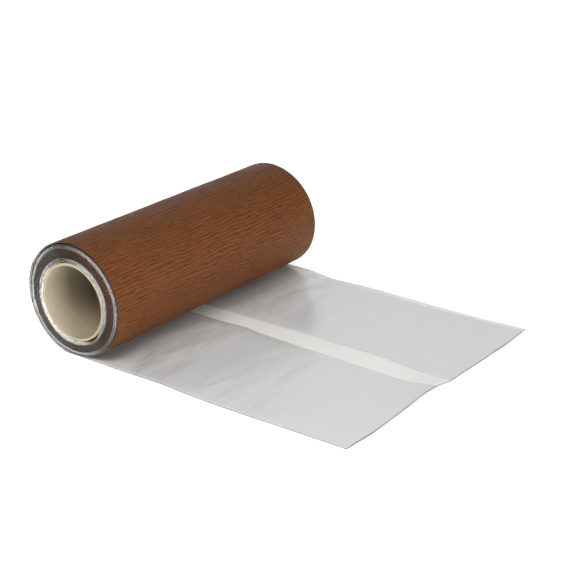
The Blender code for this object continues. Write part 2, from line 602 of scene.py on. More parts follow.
@dataclass(frozen=True)
class CoatedFace:
    """Matt copper-brown coating on the crinkled foil, with painted shade in the troughs and painted
    light on the ridges.

    Attributes:
        ridge: Colour on the ridges, lighter as painted light.
        trough: Colour in the troughs, darker as painted shade.
        soiled: Dirt along the wound tape's cut edges.
        bare: Metal that shows there in specks.
        mottle: Slow change of shade.
        pucker: Small creases between the ridges.
        grain: The coating's own grain.
        speck: Dirt and bare specks.
        soil_reach: How far in from the edge they reach.
        relief: Height of the puckers in the bump.
        roughness: Mean roughness.
        specular: Strength of the reflection.
    """

    ridge: Colour = (0.176, 0.062, 0.0195)
    trough: Colour = (0.066, 0.0215, 0.0068)
    soiled: Colour = (0.022, 0.015, 0.012)
    bare: Colour = (0.50, 0.46, 0.42)
    mottle: Grain = Grain(22 * MM, 40 * MM)
    pucker: Grain = Grain(1.9 * MM, 7 * MM, 4.0, 0.66, 0.5)
    grain: Grain = Grain(0.5 * MM, 1.0 * MM, 2.0)
    speck: Grain = Grain(0.8 * MM, 0.6 * MM, rough=0.7)
    soil_reach: float = 1.6 * MM
    relief: float = 0.50 * MM
    roughness: float = 0.54
    specular: float = 0.10

    def make(self) -> bpy.types.Material:
        """Builds the material.

        Returns:
            The finished material.
        """
        board = NodeBoard("coated_face")
        height = board.attribute(CRINKLE)
        mottle, pucker, grain = self.mottle.on(board), self.pucker.on(board), self.grain.on(board)
        # Painted light and shade: the coating is lighter on the crinkle's ridges and darker in its
        # troughs.
        lit = (height + mottle * 0.20 + pucker * 0.85 - 0.52).clamped()
        colour = board.mix(self.trough, self.ridge, lit)
        speck = self.speck.on(board)
        near_edge = board.edge_band(self.soil_reach) * board.attribute(SOIL)
        colour = board.mix(colour, self.soiled, (near_edge * 1.3 * (speck * 6.0 - 2.7)).clamped())
        colour = board.mix(colour, self.bare, (near_edge * (speck * 16.0 - 9.3)).clamped())
        normal = board.bump(pucker * 1.1 + grain * 0.25, self.relief, 1.0)
        rough = self.roughness + (grain - 0.5) * 0.16 - height * 0.08
        return board.finish(
            Base_Color=colour, Roughness=rough, Normal=normal, Specular_IOR_Level=self.specular
        )


@dataclass(frozen=True)
class LacqueredBack:
    """Off-white lacquer on the foil's inner side, which shows in the bare band and bare edges.

    Attributes:
        colour: Clean lacquer.
        dull: Dull clouds in it.
        soiled: Dirt along the wound tape's cut edges.
        cut: A dark line painted along the foil's edges: the dark cut edge widened, with painted shadow
            under the edge.
        cut_width: Width of that line.
        soil_reach: How far in from the edge the dirt reaches.
        cloud: The dull clouds.
        streak: Streaks across the tape.
        smear: The dirt.
    """

    colour: Colour = (0.83, 0.83, 0.805)
    dull: Colour = (0.76, 0.755, 0.73)
    soiled: Colour = (0.060, 0.055, 0.052)
    cut: Colour = (0.11, 0.085, 0.070)
    cut_width: float = 0.5 * MM
    soil_reach: float = 2.2 * MM
    cloud: Grain = Grain(35 * MM, 14 * MM, rough=0.55)
    streak: Grain = Grain(3.6 * MM, 16 * MM)
    smear: Grain = Grain(1.1 * MM, 0.8 * MM, rough=0.65)

    def make(self) -> bpy.types.Material:
        """Builds the material.

        Returns:
            The finished material.
        """
        board = NodeBoard("lacquered_back")
        cloud, streak = self.cloud.on(board), self.streak.on(board)
        colour = board.mix(self.colour, self.dull, (cloud * 0.7 + streak * 0.3 - 0.2).clamped())
        smear = self.smear.on(board)
        edge = board.edge_band(self.soil_reach) * board.attribute(SOIL)
        colour = board.mix(colour, self.soiled, (edge * (smear * 5.0 - 1.4)).clamped())
        # Painted shadow: a dark line along the layer's edges, standing in for the cut wall and the shade
        # under the edge.
        cut = (board.edge_band(self.cut_width) * 6.0).clamped() * 0.85
        colour = board.mix(colour, self.cut, cut)
        normal = board.bump(streak, 0.2 * MM, 0.22)
        return board.finish(Base_Color=colour, Roughness=0.42 + cloud * 0.14, Normal=normal)


@dataclass(frozen=True)
class CutEdge:
    """The foil's cut edge: thin metal between two coats, with nicks of bare aluminium.

    Attributes:
        colour: The coats.
        bare: The bare metal.
        nick: Where the nicks are.
    """

    colour: Colour = (0.050, 0.030, 0.022)
    bare: Colour = (0.38, 0.34, 0.30)
    nick: Grain = Grain(1.6 * MM, 1.6 * MM, rough=0.7)

    def make(self) -> bpy.types.Material:
        """Builds the material.

        Returns:
            The finished material.
        """
        board = NodeBoard("cut_edge")
        nick = self.nick.on(board)
        bare = board.add(
            "ShaderNodeValToRGB", {"Fac": nick}, stops=[(0.55, (0, 0, 0)), (0.68, (1, 1, 1))]
        )
        return board.finish(
            Base_Color=board.mix(self.colour, self.bare, bare * 0.7),
            Roughness=0.42 + nick * 0.2,
            Metallic=bare * 0.6,
        )


@dataclass(frozen=True)
class LinerFilm:
    """Grey release film: satin, faintly cloudy, with fine streaks across the tape and a painted
    reflection of the roll near it.

    Attributes:
        colour: The film.
        cloud: Its darker clouds.
        warm: Its warmer clouds.
        crazed: White crazing along a wound edge.
        shaded: Shade in the crushed edge between.
        dull: Darker warm grey of the painted reflection of the roll, in patches where the film comes out
            from under it.
        roll_reflection_at: The middle of that painted stretch, along the tape.
        roll_reflection_reach: How far the stretch reaches to each side.
        crushed_reach: How far in from a wound edge the film is crushed.
        relief: Height of the wrinkles in the bump.
        specular: Strength of the reflection.
        streaks: Streaks across the tape.
        clouds: The clouds.
        fine: Fine streaks.
        wrinkle: Broad wrinkles across the tape.
        craze: The crazing.
    """

    colour: Colour = (0.615, 0.630, 0.625)
    cloud: Colour = (0.565, 0.575, 0.570)
    warm: Colour = (0.620, 0.605, 0.585)
    crazed: Colour = (0.90, 0.905, 0.90)
    shaded: Colour = (0.20, 0.195, 0.19)
    # Darker warm grey of the painted reflection of the roll.
    dull: Colour = (0.43, 0.415, 0.395)
    roll_reflection_at: float = 66 * MM
    roll_reflection_reach: float = 50 * MM
    crushed_reach: float = 2.6 * MM
    relief: float = 0.6 * MM
    specular: float = 0.66
    streaks: Grain = Grain(3.4 * MM, 70 * MM, 4.0, 0.58, 0.25)
    clouds: Grain = Grain(60 * MM, 90 * MM, rough=0.5)
    fine: Grain = Grain(0.9 * MM, 18 * MM)
    wrinkle: Grain = Grain(13 * MM, 55 * MM, 2.0, 0.42, 0.8)
    craze: Grain = Grain(5 * MM, 0.9 * MM)

    def make(self) -> bpy.types.Material:
        """Builds the material.

        Returns:
            The finished material.
        """
        board = NodeBoard("liner_film")
        streak, cloud = self.streaks.on(board), self.clouds.on(board)
        fine, wrinkle = self.fine.on(board), self.wrinkle.on(board)
        colour = board.mix(self.colour, self.cloud, (streak * 0.9 + cloud * 0.5 - 0.30).clamped())
        colour = board.mix(colour, self.warm, (cloud * 1.6 - 0.75).clamped() * 0.6)
        along = board.add("ShaderNodeSeparateXYZ", {"Vector": board.tape_point(1.0, 1.0)}, "X")
        # Painted reflection of the roll: darker warm-grey patches where the film comes out from under
        # it.
        by_roll = (1 - (along - self.roll_reflection_at).apply("ABSOLUTE") / self.roll_reflection_reach).clamped()
        roll_reflection_mask = (wrinkle * 5.0 - 2.25).clamped() * by_roll
        colour = board.mix(colour, self.dull, roll_reflection_mask * 0.6)
        craze = self.craze.on(board)
        crushed = board.edge_band(self.crushed_reach) * board.attribute(WOUND)
        colour = board.mix(colour, self.shaded, (crushed * (3.4 - craze * 7.0)).clamped())
        colour = board.mix(colour, self.crazed, (crushed * (craze * 7.0 - 3.0)).clamped())
        normal = board.bump(streak * 0.34 + fine * 0.06 + wrinkle * 1.8, self.relief, 0.48)
        rough = 0.18 + cloud * 0.08 + streak * 0.04
        return board.finish(
            Base_Color=colour, Roughness=rough, Normal=normal, Specular_IOR_Level=self.specular
        )


@dataclass(frozen=True)
class FilmEdge:
    """The whitened cut edge of the release film.

    Attributes:
        colour: The whitened edge.
        dirt: Dirt on it.
        speck: Where the dirt is.
    """

    colour: Colour = (0.78, 0.785, 0.775)
    dirt: Colour = (0.46, 0.45, 0.43)
    speck: Grain = Grain(2 * MM, 2 * MM)

    def make(self) -> bpy.types.Material:
        """Builds the material.

        Returns:
            The finished material.
        """
        board = NodeBoard("film_edge")
        speck = self.speck.on(board)
        colour = board.mix(self.colour, self.dirt, (speck * 1.8 - 0.8).clamped())
        return board.finish(Base_Color=colour, Roughness=0.30 + speck * 0.2)


@dataclass(frozen=True)
class Butyl:
    """Dark grey butyl adhesive: tacky, with the print of the film and small pits.

    Attributes:
        colour: The butyl.
        pale: Its paler side of the film's print.
        dusty: Dust along the wound tape's edges.
        chip: Pale chips in the dust.
        soil_reach: How far in from the edge they reach.
        relief: Height of the print and pits in the bump.
        dust: Where the dust and chips are.
        film_print: The film's print.
        pits: The pits.
    """

    colour: Colour = (0.115, 0.116, 0.118)
    pale: Colour = (0.19, 0.19, 0.188)
    dusty: Colour = (0.088, 0.054, 0.040)
    chip: Colour = (0.42, 0.38, 0.35)
    soil_reach: float = 2.4 * MM
    relief: float = 0.4 * MM
    dust: Grain = Grain(1.2 * MM, 0.9 * MM, rough=0.68)
    film_print: Grain = Grain(4 * MM, 26 * MM, 4.0, warp=0.3)
    pits: Grain = Grain(1.3 * MM, 1.3 * MM, rough=0.7)

    def make(self) -> bpy.types.Material:
        """Builds the material.

        Returns:
            The finished material.
        """
        board = NodeBoard("butyl")
        dust, film_print, pits = self.dust.on(board), self.film_print.on(board), self.pits.on(board)
        colour = board.mix(self.colour, self.pale, (film_print * 1.3 - 0.35).clamped())
        rim = board.edge_band(self.soil_reach) * board.attribute(SOIL)
        colour = board.mix(colour, self.dusty, (rim * (dust * 5.0 - 1.3)).clamped())
        colour = board.mix(colour, self.chip, (rim * (dust * 18.0 - 10.2)).clamped())
        normal = board.bump(film_print * 0.7 + pits * 0.3, self.relief, 0.6)
        return board.finish(
            Base_Color=colour, Roughness=0.24 + pits * 0.22, Normal=normal, Specular_IOR_Level=0.6
        )


class Paper(Enum):
    """The core's three papers: base colour, darker fibre colour."""

    INNER = ((0.415, 0.350, 0.255), (0.32, 0.262, 0.180))
    BOARD = ((0.60, 0.520, 0.385), (0.45, 0.370, 0.250))
    OUTER = ((0.58, 0.420, 0.190), (0.46, 0.320, 0.140))


@dataclass(frozen=True)
class PaperFinish:
    """Spirally wound paper: short fibres, and the helical seam of the ply where it shows.

    Attributes:
        paper: Which paper.
        axis: The tube's middle.
        seam_lead: How far along the tube the seam goes in one turn.
        seam_share: Half the seam's width, as a share of the lead.
        ring_pitch: Distance between the board's layers in its cut end.
        fibre_cells: Fibre cells in a metre, in x, y and z.
        blotch_cells: Blotch cells in a metre.
    """

    paper: Paper
    axis: Vector
    seam_lead: float = 118 * MM
    seam_share: float = 0.006
    ring_pitch: float = 0.42 * MM
    fibre_cells: tuple[float, float, float] = (1100.0, 420.0, 1100.0)
    blotch_cells: tuple[float, float, float] = (70.0, 45.0, 70.0)

    def make(self) -> bpy.types.Material:
        """Builds the material.

        Returns:
            The finished material.
        """
        board = NodeBoard(f"paper_{self.paper.name.lower()}")
        base, fibre_colour = self.paper.value
        place = board.add("ShaderNodeTexCoord", output="Object")
        centred = board.add("ShaderNodeMapping", {"Vector": place, "Location": tuple(-self.axis)})
        split = board.add("ShaderNodeSeparateXYZ", {"Vector": centred}, "X")
        angle = board.add("ShaderNodeMath", {0: split.out("X"), 1: split.out("Z")}, operation="ARCTAN2")
        fibres = board.noise(board.object_point(self.fibre_cells), 4.0, 0.75, 0.6)
        blotch = board.noise(board.object_point(self.blotch_cells), 3.0, 0.55)
        colour = board.mix(base, fibre_colour, (fibres * 2.1 + blotch * 0.5 - 0.92).clamped())
        if self.paper is Paper.BOARD:
            flat = board.add("ShaderNodeCombineXYZ", {"X": split.out("X"), "Z": split.out("Z")})
            across = board.add("ShaderNodeVectorMath", {0: flat}, "Value", operation="LENGTH")
            rings = (across * (math.tau / self.ring_pitch) + fibres * 2.5).apply("SINE")
            colour = board.mix(colour, fibre_colour, (rings * 0.5 + 0.1).clamped() * 0.6)
            normal = board.bump(rings * 0.4 + fibres, 0.12 * MM, 0.6)
            return board.finish(Base_Color=colour, Roughness=0.86, Normal=normal)
        turn = (split.out("Y") / self.seam_lead + angle * (1 / math.tau)).apply("FRACT")
        seam = (turn - 0.5).apply("ABSOLUTE") < self.seam_share
        colour = board.mix(colour, tuple(0.8 * part for part in fibre_colour), seam * 0.10)
        normal = board.bump(fibres * 0.6 - seam * 0.5, 0.14 * MM, 0.55)
        return board.finish(Base_Color=colour, Roughness=0.70 + fibres * 0.2, Normal=normal)


@dataclass
class Finishes:
    """Every material of the tape, made once.

    Attributes:
        foil: Outer face, inner face and cut edge of the foil.
        liner: Both faces and the edge of the release film.
        adhesive: Butyl, all round.
    """

    foil: list[bpy.types.Material] = field(default_factory=list)
    liner: list[bpy.types.Material] = field(default_factory=list)
    adhesive: list[bpy.types.Material] = field(default_factory=list)

    def make(self) -> Finishes:
        """Builds the materials.

        Returns:
            This set, filled.
        """
        self.foil = [CoatedFace().make(), LacqueredBack().make(), CutEdge().make()]
        film = LinerFilm().make()
        self.liner = [film, film, FilmEdge().make()]
        self.adhesive = [Butyl().make()]
        return self


# ---------------------------------------------------------------- meshes


def add_object(name: str, data: bpy.types.ID) -> bpy.types.Object:
    """Links a mesh, light or camera into the scene.

    Args:
        name: The object's name.
        data: What the object shows.

    Returns:
        The object, at the origin.
    """
    piece = bpy.data.objects.new(name, data)
    bpy.context.scene.collection.objects.link(piece)
    return piece


def points_of(mesh: bpy.types.Mesh) -> Array:
    """Reads a mesh's points.

    Args:
        mesh: The mesh.

    Returns:
        Their x, y and z, one row for each point.
    """
    flat = np.empty(len(mesh.vertices) * 3, np.float32)
    mesh.vertices.foreach_get("co", flat)
    return flat.reshape(-1, 3).astype(float)


def move_points(mesh: bpy.types.Mesh, points: Array) -> None:
    """Puts a mesh's points in new places."""
    mesh.vertices.foreach_set("co", points.astype(np.float32).ravel())
    mesh.update()


def corner_points(mesh: bpy.types.Mesh) -> Array:
    """Reads which point each face corner of a mesh uses.

    Args:
        mesh: The mesh.

    Returns:
        The points' numbers, one for each corner.
    """
    corner = np.empty(len(mesh.loops), np.int32)
    mesh.loops.foreach_get("vertex_index", corner)
    return corner


@dataclass
class TapeSheet:
    """One stretch of one layer of the tape, as a sheet with its real thickness.

    Attributes:
        name: The piece's name.
        path: Where the tape runs.
        stations: Distances along the tape, rising.
        rows: From 0 at the near edge to 1 at the far edge.
        near_edge: The near edge's y, at each station.
        far_edge: The far edge's y, at each station.
        depth: Depth of the outer face under the foil's.
        wall: Thickness.
        relief: Share of the crinkles that the outer face shows.
        materials: The outer face's, then the inner face's and the edge's if they differ.
        loose: How far a point stands off the winding, by station and y.
        fold: The fold that the stretch bends over, or 0.
        to_free_edge: Whether the stretch ends in the tape's wavy free edge.
        drape: How far it reaches over the layer under it, at its near and its far edge.
        drape_drop: How far it drops there.
        slack: How far a laid sheet stands off the layer under it, at most.
    """

    name: str
    path: TapePath
    stations: Array
    rows: Array
    near_edge: Callable[[Array], Array]
    far_edge: Callable[[Array], Array]
    depth: float
    wall: float
    relief: float
    materials: Sequence[bpy.types.Material]
    loose: Callable[[Array, Array], Array] | None = None
    fold: int = 0
    to_free_edge: bool = False
    drape: tuple[float, float] = (0.0, 0.0)
    drape_drop: float = 0.0
    slack: float = 0.0

    def _depth(self, s: Array, y: Array, near: Array, far: Array) -> Array:
        """Depth of the outer face: film drapes over the adhesive's edges and lies a little slack.

        Args:
            s: Distance along the tape.
            y: Distance across it.
            near: The near edge's y at each point.
            far: The far edge's y at each point.

        Returns:
            The depths under the foil's outer face.
        """
        depth = np.full(np.shape(s), self.depth)
        for reach, room in zip(self.drape, (y - near, far - y)):
            if reach:
                depth = depth - self.drape_drop * (1 - ease(room, 0.1 * reach, reach))
        if self.slack:
            inside = ease(np.minimum(y - near, far - y), 0, 12 * MM) * ease(s, 12 * MM, 40 * MM)
            wave = 0.5 + 0.5 * smooth_noise(s / (17 * MM) + y / (95 * MM), y / (62 * MM), 61)
            by_roll = 1 + 1.9 * hump(s, (30 * MM, 50 * MM), (70 * MM, 130 * MM))
            depth = depth + (self.slack * by_roll * wave + 0.05 * MM) * inside
        calm = 0.25 + 0.75 * ease(np.abs(s - 8 * MM), 12 * MM, 34 * MM)
        turns = self.path.turns(self.path.angle_at(s))
        pressed = hump(turns, (0.95, 1.0), (1.38, 1.5))
        return depth - self.relief * calm * (1 - 0.7 * pressed) * self.path.crinkle.relief(s, y)

    def build(self) -> bpy.types.Object:
        """Builds the sheet: a grid, laid along the path and thickened inwards.

        Returns:
            The piece, which rides on nothing yet.
        """
        columns, rows = len(self.stations), len(self.rows)
        bm = bmesh.new()
        bmesh.ops.create_grid(bm, x_segments=columns - 1, y_segments=rows - 1, size=0.5)
        mesh = bpy.data.meshes.new(self.name)
        bm.to_mesh(mesh)
        bm.free()
        flat = points_of(mesh)
        column = np.rint((0.5 - flat[:, 0]) * (columns - 1)).astype(int)
        row = np.rint((flat[:, 1] + 0.5) * (rows - 1)).astype(int)
        s = self.stations[column]
        near, far = self.near_edge(s), self.far_edge(s)
        y = near + (far - near) * self.rows[row]
        if self.to_free_edge:
            reach = ease(s, self.stations[-1] - 30 * MM, self.stations[-1])
            s = s + self.path.free_edge.at(y) * reach
        loose = self.loose(s, y) if self.loose else 0.0
        move_points(mesh, self.path.place(s, y, self._depth(s, y, near, far), loose, self.fold))
        inside = np.minimum(y - near, far - y)
        if self.to_free_edge:
            inside = np.minimum(inside, self.stations[-1] - self.stations[column])
        self._store(mesh, s, y, inside)
        mesh.shade_smooth()
        self._crease_edges(mesh)
        piece = add_object(self.name, mesh)
        for material in self.materials:
            mesh.materials.append(material)
        solidify = piece.modifiers.new("thickness", "SOLIDIFY")
        solidify.thickness = self.wall
        solidify.offset = -1.0
        solidify.use_even_offset = False
        last = len(self.materials) - 1
        solidify.material_offset = min(1, last)
        solidify.material_offset_rim = last
        LOG.info("%s: %d by %d", self.name, columns, rows)
        return piece

    @staticmethod
    def _crease_edges(mesh: bpy.types.Mesh) -> None:
        """Keeps the cut edges crisp, so that two stretches shade as one where they meet.

        Args:
            mesh: The sheet's mesh.
        """
        loop_edge = np.empty(len(mesh.loops), np.int32)
        mesh.loops.foreach_get("edge_index", loop_edge)
        uses = np.bincount(loop_edge, minlength=len(mesh.edges))
        mesh.edges.foreach_set("use_edge_sharp", uses == 1)

    def _store(self, mesh: bpy.types.Mesh, s: Array, y: Array, inside: Array) -> None:
        """Stores what the finishes read.

        The tape's own coordinates become UVs. The crinkles' height, the distance from the layer's
        edges, whether the tape is wound and whether its end soils become numbers from 0 to 1.

        Args:
            mesh: The sheet's mesh.
            s: Distance along the tape of each point.
            y: Distance across it.
            inside: Distance from the layer's nearest edge.
        """
        corner = corner_points(mesh)
        uv = np.stack([s[corner], y[corner]], axis=-1).astype(np.float32)
        layer = mesh.uv_layers.get(TAPE_UV) or mesh.uv_layers.new(name=TAPE_UV)
        layer.data.foreach_set("uv", uv.ravel())
        height = self.path.crinkle.relief(s, y) / (2.4 * self.path.crinkle.height) + 0.5
        wound = 1 - ease(s, -8 * MM, 0)
        stores = {CRINKLE: height, EDGE: inside / EDGE_SPAN, WOUND: wound, SOIL: wound * (y < 0)}
        for name, values in stores.items():
            stored = mesh.attributes.new(name, "FLOAT", "POINT")
            stored.data.foreach_set("value", np.clip(values, 0, 1).astype(np.float32))


# ---------------------------------------------------------------- the tape


@dataclass(frozen=True)
class Layer:
    """One layer of the tape, as the frame has it.

    Attributes:
        name: foil, near_adhesive, far_adhesive, near_liner or far_liner.
        depth: Depth of its outer face under the foil's.
        wall: Thickness.
        near: y of its near edge.
        far: y of its far edge.
    """

    name: str
    depth: float
    wall: float
    near: float
    far: float

    @property
    def is_liner(self) -> bool:
        """Whether this is release film."""
        return self.name.endswith("liner")

    @property
    def is_foil(self) -> bool:
        """Whether this is the foil."""
        return self.name == "foil"

    @property
    def is_adhesive(self) -> bool:
        """Whether this is butyl."""
        return self.name.endswith("adhesive")

    @property
    def width(self) -> float:
        """Its width on the roll."""
        return self.far - self.near

    @property
    def slot(self) -> str:
        """The record's material slot."""
        if self.is_foil:
            return "coated_foil"
        return "release_liner" if self.is_liner else "adhesive"

    @staticmethod
    def read(name: str) -> Layer:
        """Reads a layer's sizes from its flat stretch on the tail."""
        low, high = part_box(f"tail_{name}")
        return Layer(name, low.z, high.z - low.z, low.y, high.y)


LAYER_NAMES = ("foil", "near_adhesive", "far_adhesive", "near_liner", "far_liner")

# The y of the near and far edges where the tape is laid, along the tape.
LAID_EDGES: dict[str, tuple[WavyLine, WavyLine]] = {
    "foil": (
        WavyLine((0, 90, 160, 215, 309), (-150.0, -150.4, -152.6, -153.4, -151.6)),
        WavyLine((0, 309), (150.0, 150.0)),
    ),
    "near_liner": (
        WavyLine((0, 60, 130, 200, 250, 309), (-148.4, -148.0, -149.9, -151.3, -151.0, -149.9)),
        WavyLine(
            (0, 62, 86, 112, 165, 240, 288, 303, 309),
            (-7.5, -7.3, -5.2, -8.9, -11.0, -13.4, -14.0, -10.5, -8.5),
        ),
    ),
    "far_liner": (
        WavyLine((0, 232, 276, 309), (15.5, 15.9, 10.4, 10.0)),
        WavyLine(
            (0, 42, 88, 128, 196, 250, 309),
            (144.5, 143.2, 149.2, 143.6, 142.4, 144.8, 144.2),
        ),
    ),
}


@dataclass
class Tape:
    """The whole tape: laid end, folds, outer turn, wound turns and liner flaps.

    Attributes:
        path: Where the tape runs.
        finishes: The tape's materials.
        layers: The five layers.
        flap_fold: Distance along the tape of the line that the liner ends peel from.
        last_angle: The angle of the winding where the tape starts on the core.
        along_step: Grid step along the tape on the crinkled faces.
        across_step: Grid step across the tape on the crinkled faces.
        under_coarse: How much longer the steps are on the layers under the foil.
        laid_foil_grid: Steps along and across on the laid foil.
        laid_under_grid: Steps along and across on the laid layers that cover it.
        wound_foil_step: Step along the tape in the winding, on the foil.
        wound_under_step: The same on the other layers.
        wound_rows: Distances from each edge of the rows in the winding.
        film_rows: Distances from each edge of more rows on the film, where it drapes.
        hidden_seam: The angle where the outer turn's pieces end, behind the roll's folds.
        outer_turn_end: The angle where the covered turn's pieces end.
        peel_bend: Length over which a peeled liner would bend; not used.
        flush_drape: How far the film drapes where it is cut flush with the foil.
        open_drape: How far it drapes beside the bare band.
        drape_gap: What stays between draped film and foil.
        end_inset: How far the adhesive stops before the free edge.
        flap_inset: How far the liner ends stop before it.
        film_slack: Slack of the laid film.
        laid_relief: Share of the crinkles that the laid layers over the foil show.
        wound_relief: The same for the wound layers.
    """

    path: TapePath
    finishes: Finishes
    layers: list[Layer]
    flap_fold: float
    last_angle: float
    along_step: float = 0.80 * MM
    across_step: float = 2.4 * MM
    under_coarse: float = 1.8
    laid_foil_grid: tuple[float, float] = (1.2 * MM, 3.0 * MM)
    laid_under_grid: tuple[float, float] = (1.5 * MM, 5.0 * MM)
    wound_foil_step: float = 1.22 * MM
    wound_under_step: float = 1.92 * MM
    wound_rows: tuple[float, ...] = (0.0, 0.8 * MM, 2.5 * MM, 9.0 * MM)
    film_rows: tuple[float, ...] = (0.15 * MM, 0.6 * MM, 1.0 * MM, 1.4 * MM, 1.9 * MM, 2.5 * MM)
    hidden_seam: float = math.radians(345)
    outer_turn_end: float = math.radians(500)
    peel_bend: float = 22 * MM
    flush_drape: float = 1.2 * MM
    open_drape: float = 2.3 * MM
    drape_gap: float = 0.03 * MM
    end_inset: float = 0.9 * MM
    flap_inset: float = 0.3 * MM
    film_slack: float = 0.55 * MM
    laid_relief: float = 0.05
    wound_relief: float = 0.2

    def materials_of(self, layer: Layer) -> list[bpy.types.Material]:
        """The materials of a layer's outer face, inner face and edge."""
        if layer.is_foil:
            return self.finishes.foil
        return self.finishes.liner if layer.is_liner else self.finishes.adhesive

    def edges_of(self, layer: Layer) -> tuple[Callable[[Array], Array], Callable[[Array], Array]]:
        """The layer's edges, which wander where the tape is laid.

        Args:
            layer: The layer. Adhesive ends inside the film over it.

        Returns:
            The near and the far edge's y, as functions of the distance along the tape.
        """
        side = layer.name.split("_")[0]
        liner = layer if layer.is_foil else next(x for x in self.layers if x.name == f"{side}_liner")
        inset = self.drape_of(liner) if layer.is_adhesive else (0.0, 0.0)

        def edge(s: Array, line: WavyLine, plain: float, shift: float) -> Array:
            """An edge's y: plain on the roll, and along the line on the floor."""
            return plain + (line.at(s) - plain) * ease(s, 0, 25 * MM) + shift

        near_line, far_line = LAID_EDGES[liner.name]
        return (
            lambda s: edge(s, near_line, liner.near, inset[0]),
            lambda s: edge(s, far_line, liner.far, -inset[1]),
        )

    def drape_of(self, liner: Layer) -> tuple[float, float]:
        """How far the film reaches over each edge of the adhesive: more where it isn't cut flush."""
        return tuple(
            self.flush_drape if abs(abs(edge) - self.layers[0].far) < 2 * MM else self.open_drape
            for edge in (liner.near, liner.far)
        )

    def steps(self, start: float, end: float, step: float) -> Array:
        """Evenly spaced stations from start to end."""
        return np.linspace(start, end, max(2, round(abs(end - start) / step) + 1))

    def sheet(
        self, name: str, layer: Layer, start: float, end: float, **extra: Any
    ) -> bpy.types.Object:
        """Builds one stretch of a layer, finely where its crinkles show.

        Args:
            name: The piece's name.
            layer: The layer.
            start: Where the stretch starts, along the tape.
            end: Where it ends.
            **extra: Other fields of TapeSheet, and along_step or across_step for another grid.

        Returns:
            The finished piece.
        """
        coarse = 1.0 if layer.is_foil else self.under_coarse
        film_relief = extra.pop("relief", self.wound_relief)
        near, far = self.edges_of(layer)
        along = extra.pop("along_step", coarse * self.along_step)
        across = extra.pop("across_step", coarse * self.across_step) / layer.width
        rows = extra.pop("rows", self.steps(0, 1, across))
        if layer.is_liner:
            edge_rows = np.array(self.film_rows) / layer.width
            rows = np.unique(np.concatenate([rows, edge_rows, 1 - edge_rows]))
            drop = self.layers[1].wall - self.drape_gap
            extra.update(drape=self.drape_of(layer), drape_drop=drop)
        piece = TapeSheet(
            name=name,
            path=self.path,
            stations=self.steps(start, end, along),
            rows=rows,
            near_edge=near,
            far_edge=far,
            depth=layer.depth,
            wall=layer.wall,
            relief=1.0 if layer.is_foil else film_relief,
            materials=self.materials_of(layer),
            **extra,
        ).build()
        layer.slot
        return piece

    def build_laid_end(self) -> None:
        """Builds the flat free end on the floor, with the liners up to where they peel."""
        for layer in self.layers:
            end = self.flap_fold if layer.is_liner else self.path.free_length
            if layer.is_adhesive:
                end -= self.end_inset
            along, across = self.laid_foil_grid if layer.is_foil else self.laid_under_grid
            piece = self.sheet(
                f"laid_{layer.name}",
                layer,
                0.0,
                end,
                along_step=along,
                across_step=across,
                to_free_edge=not layer.is_liner,
                slack=self.film_slack * layer.is_liner,
                relief=self.laid_relief,
            )
            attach(piece, "tail")
            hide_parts(f"tail_{layer.name}")

    def build_flaps(self) -> None:
        """Builds the two liner ends, laid on the tape from the line where they peel."""
        for layer in (x for x in self.layers if x.is_liner):
            end = self.path.free_length - self.flap_inset
            piece = self.sheet(
                f"{layer.name}_end",
                layer,
                self.flap_fold,
                end,
                across_step=self.laid_under_grid[1],
                to_free_edge=True,
                slack=self.film_slack,
                relief=self.laid_relief,
            )
            fold_x = self.path.axis_x + self.flap_fold
            fold_x + self.peel_bend
            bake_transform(piece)
            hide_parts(f"{layer.name}_flap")
            size = (layer.width, end - self.flap_fold)

    def build_folds(self) -> None:
        """Builds the stretch over each fold line, from the middle of one side to that of the next."""
        for fold in range(1, self.path.folds + 1):
            bend = self.path.bend(fold)
            for layer in self.layers:
                piece = self.sheet(
                    f"fold_{fold}_{layer.name}",
                    layer,
                    -fold * self.path.side,
                    -(fold - 1) * self.path.side,
                    fold=fold,
                )
                start, end = ((x, 0.0, z) for x, z in (bend.start, bend.end))
                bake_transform(piece)
                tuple(start)
                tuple(end)
                if fold < self.path.folds:
                    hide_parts(f"panel_{fold}_{layer.name}")

    def build_outer_turn(self) -> None:
        """Builds the crinkled turn that shows on the roll, and on past where it goes under itself."""
        seams = (self.path.folds * self.path.side_angle, self.hidden_seam, self.outer_turn_end)
        stand_off = WindingEnds(self.path).stand_off
        for layer in self.layers:
            for title, first, last in zip(("outer", "covered"), seams, seams[1:]):
                start, end = self.path.s_at(last), self.path.s_at(first)
                piece = self.sheet(f"{title}_turn_{layer.name}", layer, start, end, loose=stand_off)
                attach(piece, "roll")
                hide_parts(f"wound_{layer.name}")

    def build_wound_turns(self) -> None:
        """Builds the turns down to the core, whose edges show at the roll's ends."""
        ends = WindingEnds(self.path)
        for layer in self.layers:
            from_edge = np.array(self.wound_rows) / layer.width
            piece = self.sheet(
                f"wound_turns_{layer.name}",
                layer,
                self.path.s_at(self.last_angle),
                self.path.s_at(self.outer_turn_end),
                rows=np.unique(np.concatenate([from_edge, 1 - from_edge])),
                along_step=self.wound_foil_step if layer.is_foil else self.wound_under_step,
                loose=ends.stand_off,
            )
            ends.telescope(piece, layer)
            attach(piece, "roll")


